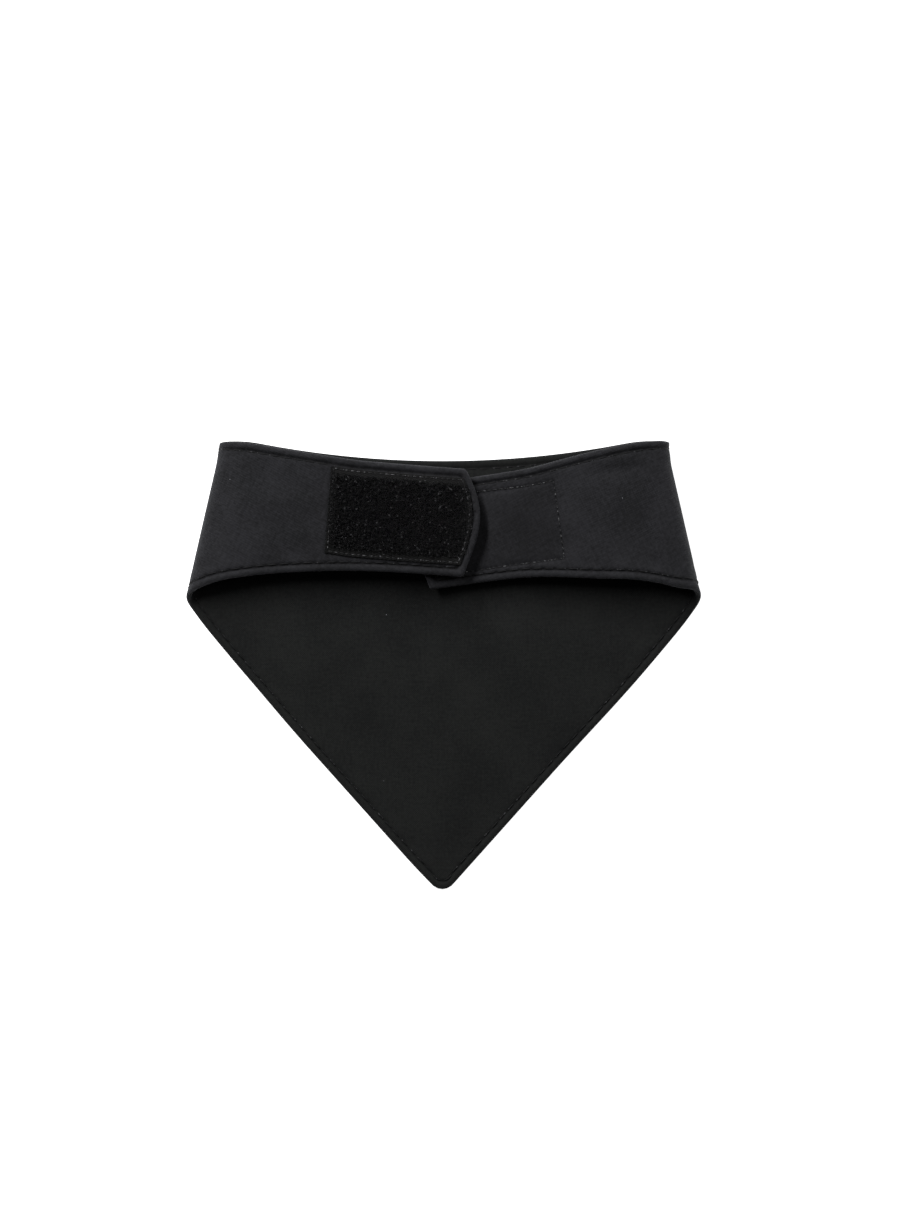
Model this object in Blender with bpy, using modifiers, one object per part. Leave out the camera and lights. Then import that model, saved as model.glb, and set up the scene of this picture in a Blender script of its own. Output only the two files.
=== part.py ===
"""Cat bandana, lying flat and face down with its neck band lapped into a closed loop.

The bandana is one cut shape, a triangle under a curved neck band with an arm at each side, sewn from
an outer cloth and a lining. Both cloths are drawn as a flat pattern and then folded: each arm turns
over a slanted crease and comes back across the panel, the left arm on top of the right one. A strip of
loop tape lies on the left arm's outer face and a strip of hook tape under the right arm.

Metres, +Z up. The outer face of the panel lies on z = 0, the triangle points to -Y, and the origin is
below the middle of the bounding box.
"""

import math
from typing import NamedTuple

import bpy
import numpy as np


class Bend(NamedTuple):
    """A stretch of a path that turns evenly along its length."""

    length_mm: float
    turn_deg: float


class Columns(NamedTuple):
    """Evenly spaced columns of the pattern's grid, up to a distance along the neckline."""

    end_mm: float
    count: int


MM = 0.001

# Cloth and tape
CLOTH_WALL = 1.0 * MM
SEAM_GAP = 0.3 * MM
TAPE_WALL = 1.2 * MM
TAPE_LENGTH = 29.3 * MM
TAPE_WIDTH = 20.0 * MM
TAPE_END_MARGIN = 1.4 * MM
LOOP_UPPER_MARGIN = 2.1 * MM
HOOK_UPPER_MARGIN = 3.0 * MM
OUTER_BLACK = (0.017, 0.017, 0.019)
LINING_BLACK = (0.013, 0.014, 0.015)
LOOP_BLACK = (0.008, 0.008, 0.008)
HOOK_BLACK = (0.010, 0.010, 0.010)

# Flat pattern, the right half: the left half is its mirror image. Both outlines are walked outwards
# from the bandana's middle, the neckline from its lowest point and the lower edge from the tip.
PANEL_DEPTH = 98.4 * MM
ARM_WIDTH = 25.0 * MM
ARM_END_BULGE = 3.6 * MM
ARM_END_SLANT = 1.4 * MM
ARM_END_BLEND = 12.0 * MM
NECKLINE = (
    Bend(42.0, 10.9),
    Bend(6.0, -6.1),
    Bend(3.0, 0.0),
    Bend(3.0, 13.5),
    Bend(8.0, -2.7),
    Bend(18.0, 0.4),
    Bend(6.0, 4.1),
    Bend(22.5, 1.0),
)
LOWER_EDGE = (
    Bend(2.7, 48.2),
    Bend(50.1, 0.0),
    Bend(26.0, 2.2),
    Bend(3.0, 1.5),
    Bend(7.5, 5.6),
    Bend(7.0, -11.1),
    Bend(6.0, -11.9),
    Bend(10.0, -5.4),
    Bend(30.0, -7.9),
    Bend(25.0, -0.8),
)

# Folds. Each crease leans out towards the triangle. FOLD_OUT is where the folded edge crosses the level
# of the neckline's lowest point, and FOLD_SHIFT is how far both lie to the right of the pattern's middle.
FOLD_OUT = 51.9 * MM
FOLD_SHIFT = 0.3 * MM
FOLD_LEAN = 12.9
CREASE_START = 47.6
CREASE_RADIUS = 2.3 * MM

# Side view of each arm, walked from the start of its crease on the panel out to its end.
FOLD_OVER = (
    Bend(3.61, 90.0),
    Bend(4.15, 70.0),
    Bend(1.7, 0.0),
    Bend(4.5, 20.0),
)
LEFT_ARM_PROFILE = FOLD_OVER + (
    Bend(38.0, 0.0),
    Bend(9.0, -14.0),
    Bend(8.0, 0.0),
)
RIGHT_ARM_PROFILE = FOLD_OVER + (
    Bend(16.0, 0.0),
    Bend(4.0, 8.5),
    Bend(13.8, 0.0),
    Bend(4.0, -8.5),
    Bend(25.0, 0.0),
)
LEFT_ARM_SWING = -0.7
RIGHT_ARM_SWING = 3.1
SWING_START = 8.0 * MM
SWING_END = 28.0 * MM

# How far the right arm's lower edge sags next to its fold, and where that starts and ends.
RIGHT_ARM_SAG = 1.4 * MM
SAG_IN = (4.0 * MM, 12.0 * MM)
SAG_OUT = (26.0 * MM, 46.0 * MM)

# Grid
PANEL_COLUMNS = (Columns(4.0, 4), Columns(10.0, 2), Columns(CREASE_START, 9))
TURNS_PER_COLUMN = 15.0
ARM_COLUMNS = (Columns(96.5, 9), Columns(108.5, 6))
TAPE_COLUMNS = 16
ROWS = 8
WALK_STEP = 0.1 * MM

# The middle between the two cloths, above the panel's outer face.
MID_HEIGHT = CLOTH_WALL + SEAM_GAP / 2


def walk(bends):
    """Walks a path of even bends from the origin, first along the first axis.

    Returns the distance walked, the two coordinates and the heading, one value every WALK_STEP.
    """
    lengths = np.array([0.0] + [bend.length_mm * MM for bend in bends])
    turns = np.radians([0.0] + [bend.turn_deg for bend in bends])
    distance = np.linspace(0.0, lengths.sum(), round(lengths.sum() / WALK_STEP) + 1)
    heading = np.interp(distance, np.cumsum(lengths), np.cumsum(turns))
    step = np.diff(distance)
    mid_heading = (heading[1:] + heading[:-1]) / 2
    along = np.concatenate([[0.0], np.cumsum(step * np.cos(mid_heading))])
    across = np.concatenate([[0.0], np.cumsum(step * np.sin(mid_heading))])
    return distance, along, across, heading


def crease_columns():
    """Columns across the folded cloth, one for about every TURNS_PER_COLUMN degrees of its bends."""
    columns, end = [], CREASE_START
    for bend in FOLD_OVER:
        end += bend.length_mm
        columns.append(Columns(end, 1 + int(bend.turn_deg / TURNS_PER_COLUMN)))
    return tuple(columns)


def column_stations():
    """Distances along the neckline of one half's columns, from the middle to the arm's end."""
    stations, start = [0.0], 0.0
    for end, count in PANEL_COLUMNS + crease_columns() + ARM_COLUMNS:
        stations.extend(np.linspace(start, end, count + 1)[1:])
        start = end
    return np.array(stations) * MM


def section_lean(station, arm_end, arm_heading):
    """How far the section line at each station leans out from -Y.

    It stands upright at the bandana's middle, follows the crease where the cloth folds, and is square
    to the arm where the tape lies.
    """
    crease_end = CREASE_START + sum(bend.length_mm for bend in FOLD_OVER)
    stations = (0.0, CREASE_START * MM, crease_end * MM, arm_end - TAPE_LENGTH)
    leans = (0.0, math.radians(FOLD_LEAN), math.radians(FOLD_LEAN), arm_heading)
    return np.interp(station, stations, leans)


def on_pattern(station, share):
    """Points of the flat pattern's right half.

    station is the distance along the neckline, and share goes from 0 there to 1 on the lower edge. The
    section line of a station runs straight down from the neckline to where it crosses the lower edge.
    Towards the arm's end the lines swell out into its rounded outline, which is roundest above the
    arm's middle.
    """
    distance, along, across, heading = walk(NECKLINE)
    arm_end, arm_heading = distance[-1], heading[-1]
    top = np.stack([np.interp(station, distance, along), np.interp(station, distance, across)], 1)
    lean = section_lean(station, arm_end, arm_heading)

    _, edge_along, edge_across, _ = walk(LOWER_EDGE)
    edge = np.stack([edge_along, edge_across - PANEL_DEPTH], 1)
    square = np.stack([np.cos(lean), np.sin(lean)], 1)
    past_line = (edge[None] - top[:, None]) @ square[:, :, None]
    index = np.arange(len(edge))
    crossing = np.array([np.interp(0.0, past[:, 0], index) for past in past_line])
    bottom = np.stack([np.interp(crossing, index, edge[:, 0]), np.interp(crossing, index, edge[:, 1])], 1)
    points = top[:, None] + share[None, :, None] * (bottom - top)[:, None]

    near_end = np.clip(1 - (arm_end - station) / ARM_END_BLEND, 0.0, 1.0)[:, None]
    swell = near_end * (ARM_END_BULGE * np.sin(math.pi * share**0.85) ** 1.2 + ARM_END_SLANT * share)
    return points + swell[..., None] * np.array([math.cos(arm_heading), math.sin(arm_heading)])


def fold(points, level, side):
    """Folds the pattern's points over the crease and moves them to a level of the cloth's thickness.

    side is 1 for the right half and -1 for the left. A point's distance past the start of the crease
    is walked along the arm's side view, and its place along the crease stays as it is. level is
    positive towards the outer cloth, which faces down on the panel and up on the folded arms.
    """
    lean = math.radians(FOLD_LEAN)
    out = np.array([math.cos(lean), math.sin(lean)])
    along_crease = np.array([-out[1], out[0]])
    edge = np.array([FOLD_OUT + side * FOLD_SHIFT, 0.0])
    crease_start = -(CREASE_RADIUS + MID_HEIGHT)

    from_edge = points - edge
    run = from_edge @ along_crease
    past = from_edge @ out - crease_start
    distance, inward, up, heading = walk(RIGHT_ARM_PROFILE if side > 0 else LEFT_ARM_PROFILE)
    turned = np.interp(past, distance, heading)
    folded_out = crease_start + np.where(past > 0, np.interp(past, distance, inward), past)
    height = MID_HEIGHT + np.interp(past, distance, up)

    folded_out = folded_out + level * np.sin(turned)
    height = height - level * np.cos(turned)
    plan = edge + folded_out[..., None] * out + run[..., None] * along_crease
    if side > 0:
        plan = plan - sag(past, run)[..., None] * np.array([0.0, 1.0])
    plan = swing_arm(plan, past, side)
    return np.concatenate([plan * [side, 1.0], height[..., None]], -1)


def ease(value, start, end):
    """Goes from 0 at start to 1 at end with no corner."""
    share = np.clip((value - start) / (end - start), 0.0, 1.0)
    return share * share * (3 - 2 * share)


def sag(past, run):
    """How far the right arm sags in its own plane: most at its lower edge and none at its upper one."""
    beside_fold = ease(past, *SAG_IN) * (1 - ease(past, *SAG_OUT))
    return RIGHT_ARM_SAG * beside_fold * np.clip(-run / ARM_WIDTH, 0.0, 1.3)


def swing_arm(plan, past, side):
    """Turns an arm a little in its own plane, about the middle of its shoulder."""
    swing = math.radians(RIGHT_ARM_SWING if side > 0 else LEFT_ARM_SWING)
    angle = swing * ease(past, SWING_START, SWING_END)
    pivot = np.array([FOLD_OUT - SWING_START, -ARM_WIDTH / 2])
    x, y = np.moveaxis(plan - pivot, -1, 0)
    swung = np.stack([x * np.cos(angle) - y * np.sin(angle), x * np.sin(angle) + y * np.cos(angle)], -1)
    return swung + pivot


def whole_sheet(level):
    """The bandana's whole grid at one level, from the left arm's end to the right one's."""
    half = on_pattern(column_stations(), np.linspace(0.0, 1.0, ROWS + 1))
    return np.concatenate([fold(half, level, -1)[:0:-1], fold(half, level, 1)])


def tape_sheet(level, side, upper_margin):
    """A tape's grid: the arm's own points between the tape's margins, moved out to its level.

    Its columns run from left to right along the flat pattern, as the whole sheet's do.
    """
    end = sum(bend.length_mm for bend in NECKLINE) * MM - TAPE_END_MARGIN
    stations = np.linspace(end - TAPE_LENGTH, end, TAPE_COLUMNS + 1)
    share = np.linspace(upper_margin, upper_margin + TAPE_WIDTH, ROWS + 1) / ARM_WIDTH
    return fold(on_pattern(stations, share), level, side)[::side]


def cloth_material(name, colour, roughness):
    material = bpy.data.materials.new(name)
    material.use_nodes = True
    shader = material.node_tree.nodes["Principled BSDF"]
    shader.inputs["Base Color"].default_value = (*colour, 1.0)
    shader.inputs["Roughness"].default_value = roughness
    shader.inputs["Metallic"].default_value = 0.0
    return material


def sheet_object(name, grid, wall, outwards, material):
    """Makes a grid of points an open sheet and gives it a wall.

    The wall grows towards the outer cloth's side where outwards is True, and else towards the lining's.
    """
    columns, rows = grid.shape[:2]
    index = np.arange(columns * rows).reshape(columns, rows)
    corners = [index[:-1, :-1], index[:-1, 1:], index[1:, 1:], index[1:, :-1]]
    quads = np.stack(corners[::-1] if outwards else corners, -1).reshape(-1, 4)
    mesh = bpy.data.meshes.new(name)
    mesh.from_pydata(grid.reshape(-1, 3).tolist(), [], quads.tolist())
    mesh.shade_smooth()
    mesh.materials.append(material)
    piece = bpy.data.objects.new(name, mesh)

    thicken = piece.modifiers.new("wall", "SOLIDIFY")
    thicken.thickness = wall
    thicken.offset = 1.0
    thicken.use_even_offset = True
    return piece


def main():
    for old in list(bpy.data.objects):
        bpy.data.objects.remove(old, do_unlink=True)
    collection = bpy.data.collections.new("cat_bandana")
    bpy.context.scene.collection.children.link(collection)

    outer_face = whole_sheet(MID_HEIGHT).reshape(-1, 3)
    centre = (outer_face.min(0) + outer_face.max(0)) / 2 * [1.0, 1.0, 0.0]
    cloth_level = SEAM_GAP / 2
    tape_level = MID_HEIGHT + SEAM_GAP

    pieces = (
        ("outer_panel", whole_sheet(cloth_level), CLOTH_WALL, True, OUTER_BLACK, 0.85),
        ("inner_panel", whole_sheet(-cloth_level), CLOTH_WALL, False, LINING_BLACK, 0.90),
        ("loop_patch", tape_sheet(tape_level, -1, LOOP_UPPER_MARGIN), TAPE_WALL, True, LOOP_BLACK, 0.95),
        ("hook_patch", tape_sheet(-tape_level, 1, HOOK_UPPER_MARGIN), TAPE_WALL, False, HOOK_BLACK, 0.60),
    )
    for name, grid, wall, outwards, colour, roughness in pieces:
        material = cloth_material(name, colour, roughness)
        collection.objects.link(sheet_object(name, grid - centre, wall, outwards, material))


main()
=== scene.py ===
"""The looks of a cat bandana that lies face down, with its neck band folded over and lapped.

The two cloths are drawn on the flat cut, in two coordinates. A station is the distance along the
neckline from its lowest point, and a run is the distance down the section line that starts there. Each
point also has a level, its distance from the middle between the cloths, positive towards the outer
cloth. One function folds all three into the place where the cloth lies, so the stitches, the tapes,
the pile and the hooks are worked out on the flat cut too.

A side is 1 for the right half and -1 for the left, and a face is 1 for the outer cloth and -1 for the
lining. Metres, +Z up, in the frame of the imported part.
"""

import math
from functools import partial
from typing import NamedTuple

import bpy
import numpy as np
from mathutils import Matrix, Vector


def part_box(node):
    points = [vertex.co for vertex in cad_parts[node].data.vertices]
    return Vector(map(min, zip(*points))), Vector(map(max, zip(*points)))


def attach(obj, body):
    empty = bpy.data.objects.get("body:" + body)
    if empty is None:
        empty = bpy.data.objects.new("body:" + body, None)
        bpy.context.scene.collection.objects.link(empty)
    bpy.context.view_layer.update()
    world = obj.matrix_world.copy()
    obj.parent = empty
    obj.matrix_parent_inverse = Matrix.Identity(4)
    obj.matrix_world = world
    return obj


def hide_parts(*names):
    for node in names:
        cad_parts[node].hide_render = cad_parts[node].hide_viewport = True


class Bend(NamedTuple):
    """A stretch of a path that turns evenly along its length."""

    length_mm: float
    turn_deg: float


class CornerBell(NamedTuple):
    """A move at a fold's top corner, with its bells' widths down the run and past the crease."""

    move: float
    run_width: float
    past_width: float


class SideBow(NamedTuple):
    """How far a side of the panel lies out of the cut.

    It grows between two depths below the neckline and fades between two others, and it grows between
    two distances from the middle.
    """

    out: float
    grows: tuple
    fades: tuple
    across: tuple


class Trough(NamedTuple):
    """A soft dent in an arm, along a line of the flat cut. A negative depth is a ridge."""

    side: int
    start_mm: tuple
    end_mm: tuple
    width_mm: float
    depth_mm: float


class Tape(NamedTuple):
    """A tape sewn on near an arm's end. The box is the stitched frame that holds it."""

    side: int
    face: int
    length: float
    width: float
    upper_margin: float
    box_ends: float
    box_upper: float
    box_lower: float
    box_lean: float

    def bounds(self):
        """First and last station, and first and last run."""
        last = ARM_END - TAPE_END_MARGIN
        return last - self.length, last, self.upper_margin, self.upper_margin + self.width

    def box(self):
        """The stitched frame's first and last station, and its first and last run."""
        first, last, upper, lower = self.bounds()
        ends = self.box_ends
        return first + ends, last - ends, upper + self.box_upper, lower - self.box_lower


class Lamp(NamedTuple):
    """A rectangular light that faces the origin, with its longer side up the view."""

    name: str
    place: tuple
    size: tuple
    watts: float


MM = 0.001

# The flat cut's right half, as the part's source has it. The left half is its mirror image.
PANEL_DEPTH = 98.4 * MM
ARM_WIDTH = 25.0 * MM
ARM_END_BULGE = 3.6 * MM
ARM_END_SLANT = 1.4 * MM
ARM_END_BLEND = 12.0 * MM
ARM_END_SKEW = 0.85
ARM_END_POWER = 1.2
NECKLINE = (
    Bend(42.0, 10.9),
    Bend(6.0, -6.1),
    Bend(3.0, 0.0),
    Bend(3.0, 13.5),
    Bend(8.0, -2.7),
    Bend(18.0, 0.4),
    Bend(6.0, 4.1),
    Bend(22.5, 1.0),
)
LOWER_EDGE = (
    Bend(2.7, 48.2),
    Bend(50.1, 0.0),
    Bend(26.0, 2.2),
    Bend(3.0, 1.5),
    Bend(7.5, 5.6),
    Bend(7.0, -11.1),
    Bend(6.0, -11.9),
    Bend(10.0, -5.4),
    Bend(30.0, -7.9),
    Bend(25.0, -0.8),
)

# The folds, also as in the part's source
FOLD_OUT = 51.9 * MM
FOLD_SHIFT = 0.3 * MM
FOLD_LEAN = math.radians(12.9)
CREASE_START = 47.6 * MM
CREASE_RADIUS = 2.3 * MM
FOLD_OVER = (
    Bend(3.61, 90.0),
    Bend(4.15, 70.0),
    Bend(1.7, 0.0),
    Bend(4.5, 20.0),
)
LEFT_ARM_PROFILE = FOLD_OVER + (
    Bend(38.0, 0.0),
    Bend(9.0, -14.0),
    Bend(8.0, 0.0),
)
RIGHT_ARM_PROFILE = FOLD_OVER + (
    Bend(16.0, 0.0),
    Bend(4.0, 8.5),
    Bend(13.8, 0.0),
    Bend(4.0, -8.5),
    Bend(25.0, 0.0),
)
LEFT_ARM_SWING = math.radians(-0.7)
RIGHT_ARM_SWING = math.radians(3.1)
SWING_START = 8.0 * MM
SWING_END = 28.0 * MM
RIGHT_ARM_SAG = 1.4 * MM
SAG_IN = (4.0 * MM, 12.0 * MM)
SAG_OUT = (26.0 * MM, 46.0 * MM)
SAG_LIMIT = 1.3
STRAIGHT_ARM = 29.3 * MM
SOLID_HALF = 1.15 * MM
CUT_MIDDLE_X = -0.223 * MM
WALK_STEP = 0.1 * MM

# Where the cloth departs from a plain fold
FOLD_NOSE = 3.6 * MM
CORNER_PUSH = {
    -1: CornerBell(0.35 * MM, 3.2 * MM, 3.0 * MM),
    1: CornerBell(0.75 * MM, 3.2 * MM, 3.0 * MM),
}
CORNER_DROPS = (
    CornerBell(0.55 * MM, 3.5 * MM, 4.5 * MM),
    CornerBell(0.30 * MM, 1.4 * MM, 1.7 * MM),
)
REST_HEIGHT = 0.02 * MM
LEFT_END_DROP = 1.5 * MM
LEFT_END = (54.0 * MM, 66.0 * MM)
RIGHT_TOP_DROP = 0.5 * MM
RIGHT_TOP_WIDTH = 6.0 * MM
RIGHT_TOP = (24.0 * MM, 40.0 * MM)
PAST_TIP = (120.0 * MM, 130.0 * MM)
SIDE_BOWS = {
    -1: SideBow(0.38 * MM, (50.0 * MM, 66.0 * MM), PAST_TIP, (0.0, 8.0 * MM)),
    1: SideBow(0.50 * MM, (29.0 * MM, 34.0 * MM), (48.0 * MM, 72.0 * MM), (10.0 * MM, 28.0 * MM)),
}

# Cloth. The real sandwich is thinner than the part's walls, so its middle lies lower by SETTLE and
# reaches further out at the folds by FOLD_REACH.
SETTLE = 0.43 * MM
CLOTH = 0.30 * MM
CLOTH_HALF = 0.60 * MM
FOLD_REACH = SOLID_HALF - CLOTH_HALF
REACH_BLEND = 9.0 * MM
SEAM_OPEN = 0.04 * MM
CORNER = 0.6 * MM
EDGE_BLEND = 0.15 * MM
EDGE_ROUND = 0.55 * MM
STITCH_INSET = 2.0 * MM

# The hem, by face where the outer cloth's differs from the lining's
PRESSED_SHARE = 0.9
PRESSED_PLACE = 4.0 * MM
PRESSED_WIDTH = 4.0 * MM
ROLL_PLACE = 0.85 * MM
ROLL_WIDTH = 0.55 * MM
ROLL_HEIGHT = {1: 0.12 * MM, -1: 0.06 * MM}
ROLL_WAVE = 2.6 * MM
ROLL_UNEVEN = 0.5
ROLL_SEED = 51
GROOVE_PLACE = 1.7 * MM
GROOVE_WIDTH = 0.36 * MM
GROOVE_DEPTH = {1: 0.28 * MM, -1: 0.14 * MM}
DIMPLE_WIDTH = 0.45 * MM
DIMPLE_DEPTH = 0.12 * MM
PUCKER_PLACE = 1.4 * STITCH_INSET
PUCKER_WIDTH = 2.2 * MM
PUCKER_HEIGHT = 0.08 * MM
PUCKER_WAVE = 4.5 * MM
PUCKER_SEED = 31

# Level cloth
BOX_GROOVE_DEPTH = 0.16 * MM
BOX_GROOVE_WIDTH = 0.5 * MM
BOX_SWELL = 0.10 * MM
BOX_SWELL_REACH = 2.0 * MM
PANEL_SWELL = 0.25 * MM
PANEL_START = (-1.0 * MM, 6.0 * MM)
PANEL_HEM = (2.0 * MM, 9.0 * MM)
PANEL_WAVE = 30.0 * MM
PANEL_SEED = 23
SWELL_LIMIT = 1.4
SWAY_HEIGHT = 0.16 * MM
SWAY_START = (2.0 * MM, 16.0 * MM)
SWAY_WAVE = 26.0 * MM
SWAY_SEED = 11
TROUGH_FADE = 0.55
TROUGHS = (
    Trough(1, (58.0, 5.8), (71.0, 5.0), 1.5, 0.45),
    Trough(1, (70.0, 16.5), (84.0, 19.5), 2.6, 0.16),
    Trough(1, (63.5, 9.0), (66.0, 21.0), 1.8, 0.18),
    Trough(-1, (64.0, 6.5), (75.0, 8.5), 2.2, 0.20),
    Trough(-1, (63.0, 13.0), (67.0, 22.0), 1.6, 0.16),
    Trough(-1, (70.0, 19.0), (79.0, 17.0), 2.4, -0.14),
)

# Painted shade: how much of a colour is taken away at the seams, needle holes and tapes
GROOVE_SHADE = {1: 0.65, -1: 0.2}
GROOVE_SHADE_WIDTH = 0.7 * GROOVE_WIDTH
NECK_HEM = 4.0 * MM
HOLE_SHADE = 0.6
HOLE_WIDTH = 0.35 * MM
PAINTED_BOX_SHADE = 0.20
PAINTED_BOX_EDGE = 1.0 * MM
BORDER_SHADE = 0.6
BORDER_WIDTH = 0.3 * MM
TAPE_START_SHADE = 0.7
TAPE_START = (0.4 * MM, 1.6 * MM)

# Tapes
TAPE_END_MARGIN = 1.1 * MM
TAPE_WALL = 0.3 * MM
TAPE_RISE = 0.55 * MM
TAPE_SUNK = 0.05 * MM
TAPE_ROUND = 0.25 * MM
TAPE_GROOVE_DEPTH = 0.10 * MM
TAPE_DIMPLE_DEPTH = 0.05 * MM
TAPE_SEAM_WIDTH = 0.4 * MM
SELVAGE = 1.7 * MM
LOOP_TAPE = Tape(
    side=-1, face=1, length=29.6 * MM, width=20.0 * MM, upper_margin=2.1 * MM,
    box_ends=0.6 * MM, box_upper=0.5 * MM, box_lower=0.6 * MM, box_lean=0.0,
)
HOOK_TAPE = Tape(
    side=1, face=-1, length=29.6 * MM, width=20.0 * MM, upper_margin=3.0 * MM,
    box_ends=0.7 * MM, box_upper=1.3 * MM, box_lower=1.3 * MM, box_lean=1.1 * MM,
)
TAPES = {-1: LOOP_TAPE, 1: HOOK_TAPE}

# Grids
PANEL_COLUMNS = 68
CREASE_COLUMNS = 30
ARM_COLUMNS = 98
MARGIN = 3.4 * MM
MARGIN_LINES = 20
MARGIN_POWER = 1.5
MIDDLE_ROWS = 48
TAPE_COLUMNS = 68
TAPE_ROWS = 48
TAPE_BORDER_LINES = (0.0, 0.1, 0.35, 1.0)
EDGE_LINE_POINTS = 600
END_LINE_POINTS = 120
BOX_LINE_POINTS = 150

# Thread
TOP_PITCH = 2.75 * MM
BOX_PITCH = 1.3 * MM
THREAD_RADIUS = 0.15 * MM
BOX_THREAD_RADIUS = 0.12 * MM
THREAD_SIDES = 6
STITCH_SPAN = 0.9
STITCH_SUNK = 0.20 * MM
STITCH_RISE = 0.24 * MM
STITCH_POINTS = 8
COVERED_END = 0.2 * MM
COVERED_EDGE = 0.5 * MM

# Loops and hooks
PILE_ROOT = 0.1 * MM
LOOP_SPACING = 0.31 * MM
LOOP_END_MARGIN = 0.4 * MM
LOOP_HEIGHT = 0.85 * MM
LOOP_TALL = (0.6, 1.15)
LOOP_HALF_WIDTH_MM = (0.18, 0.42)
LOOP_LEAN = (0.1, 0.8)
LOOP_HELD_SHARE = 0.35
LOOP_FREE = (0.1 * MM, 1.2 * MM)
LOOP_SHAPE = 0.8
LOOP_POINTS = 7
LOOP_SIDES = 3
LOOP_RADIUS = 0.055 * MM
LOOP_SEED = 5
HOOK_SPACING = (1.3 * MM, 0.9 * MM)
HOOK_END_MARGINS = (1.2 * MM, 1.0 * MM)
HOOK_STALK = 0.55 * MM
HOOK_STALK_SHARE = 0.35
HOOK_CURL = math.radians(250.0)
HOOK_CURL_RADIUS = 0.24 * MM
HOOK_POINTS = 9
HOOK_SIDES = 4
HOOK_RADIUS = 0.09 * MM

# Patterns of the finishes. The real threads are about 0.25 mm apart in the cloths and 0.3 mm in the
# tapes, and are drawn twice as coarse so that they show. The lint and the painted glints are coarser
# than real for the same reason.
CLOTH_THREADS = 0.5 * MM
TAPE_THREADS = 0.6 * MM
GRAIN = 0.7 * MM
CLOUD = 14.0 * MM
SLUB_WIDTH = 0.5 * MM
SLUB_LENGTH = 4.0 * MM
SLUB_WEIGHT = 0.35
TONE_RANGE = (1.11, 1.59)
LINT_SPACING = 3.2 * MM
LINT_SIZE = 0.035
LINT_FREE = 0.9
FIBRE_WEIGHT = 0.8
BUMP_DEPTH = 0.1 * MM
FILAMENT_GRAIN = 0.5 * MM
GLINT_SPACING = 0.35 * MM

# Studio
FLOOR_SIZE = 4.0
FLOOR_GLOW = 0.95
SKY = 0.05
LAMPS = (
    Lamp("key", (-0.28, 0.42, 0.45), (0.09, 0.60), 5.5),
    Lamp("side", (0.42, 0.34, 0.38), (0.25, 0.50), 1.4),
)
CAMERA_LENS = 100.07
CAMERA_SENSOR = 36.0
CAMERA_PLACE = (0.00324, 0.01238, 0.780)


def walk(bends):
    """Walks a path of even bends from the origin, first along the first axis.

    The heading is the running sum of the turns, and the coordinates are the running sums of the steps'
    cosines and sines. Returns the distance, the two coordinates and the heading at every step.
    """
    lengths = np.array([0.0] + [bend.length_mm * MM for bend in bends])
    turns = np.radians([0.0] + [bend.turn_deg for bend in bends])
    distance = np.linspace(0.0, lengths.sum(), round(lengths.sum() / WALK_STEP) + 1)
    heading = np.interp(distance, np.cumsum(lengths), np.cumsum(turns))
    step = np.diff(distance)
    mid_heading = (heading[1:] + heading[:-1]) / 2
    along = np.concatenate([[0.0], np.cumsum(step * np.cos(mid_heading))])
    across = np.concatenate([[0.0], np.cumsum(step * np.sin(mid_heading))])
    return distance, along, across, heading


def squareness(curve, section):
    """Sine of the angle between a curve and the section lines that meet it."""
    tangent = np.gradient(curve, axis=0)
    tangent /= np.linalg.norm(tangent, axis=1, keepdims=True)
    return np.abs(tangent[:, 0] * section[:, 1] - tangent[:, 1] * section[:, 0])


def section_table():
    """The section lines of the half cut, one row for every step along the neckline.

    A line starts on the neckline, leans out from straight down by an angle that goes from none in the
    middle to the crease's and then to the arm's, and ends where it crosses the lower edge: where the
    edge's distance past the line changes sign. The columns are the station, the start, the unit
    direction, the length, and how square the line is to the neckline and to the lower edge.
    """
    station, along, across, heading = walk(NECKLINE)
    top = np.stack([along, across], 1)
    turning = (0.0, CREASE_START, CREASE_END, station[-1] - STRAIGHT_ARM)
    lean = np.interp(station, turning, (0.0, FOLD_LEAN, FOLD_LEAN, heading[-1]))
    _, edge_along, edge_across, _ = walk(LOWER_EDGE)
    edge = np.stack([edge_along, edge_across - PANEL_DEPTH], 1)
    square = np.stack([np.cos(lean), np.sin(lean)], 1)
    past = edge @ square.T - (top * square).sum(1)
    before = np.clip((past < 0).sum(0) - 1, 0, len(edge) - 2)
    near, far = (past[before + step, np.arange(len(top))] for step in (0, 1))
    bottom = edge[before] + (near / (near - far))[:, None] * (edge[before + 1] - edge[before])
    length = np.linalg.norm(bottom - top, axis=1)
    section = (bottom - top) / length[:, None]
    ends = squareness(top, section), squareness(bottom, section)
    return np.stack([station, *top.T, *section.T, length, *ends], 1), heading[-1]


CREASE_END = CREASE_START + sum(bend.length_mm for bend in FOLD_OVER) * MM
SECTIONS, ARM_HEADING = section_table()
ARM_END = SECTIONS[-1, 0]
ARM_DIRECTION = np.array([math.cos(ARM_HEADING), math.sin(ARM_HEADING)])


def look_up(station):
    """Start, direction, length and the two squarenesses of the section line at each station."""
    columns = [np.interp(station, SECTIONS[:, 0], column) for column in SECTIONS[:, 1:].T]
    return np.stack(columns[0:2], -1), np.stack(columns[2:4], -1), *columns[4:]


def smooth(value, start, end):
    """Goes from 0 at start to 1 at end with no corner, as three squares less two cubes."""
    ease = np.clip((value - start) / (end - start), 0.0, 1.0)
    return ease * ease * (3 - 2 * ease)


def bell(value, width):
    """A bell curve of height 1: e to minus the square of value over width."""
    return np.exp(-((value / width) ** 2))


def quarter_round(share):
    """Rises like a quarter circle from 0 at share 0 to 1 at share 1, and stays there."""
    return np.sqrt(1 - (1 - np.clip(share, 0.0, 1.0)) ** 2)


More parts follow.
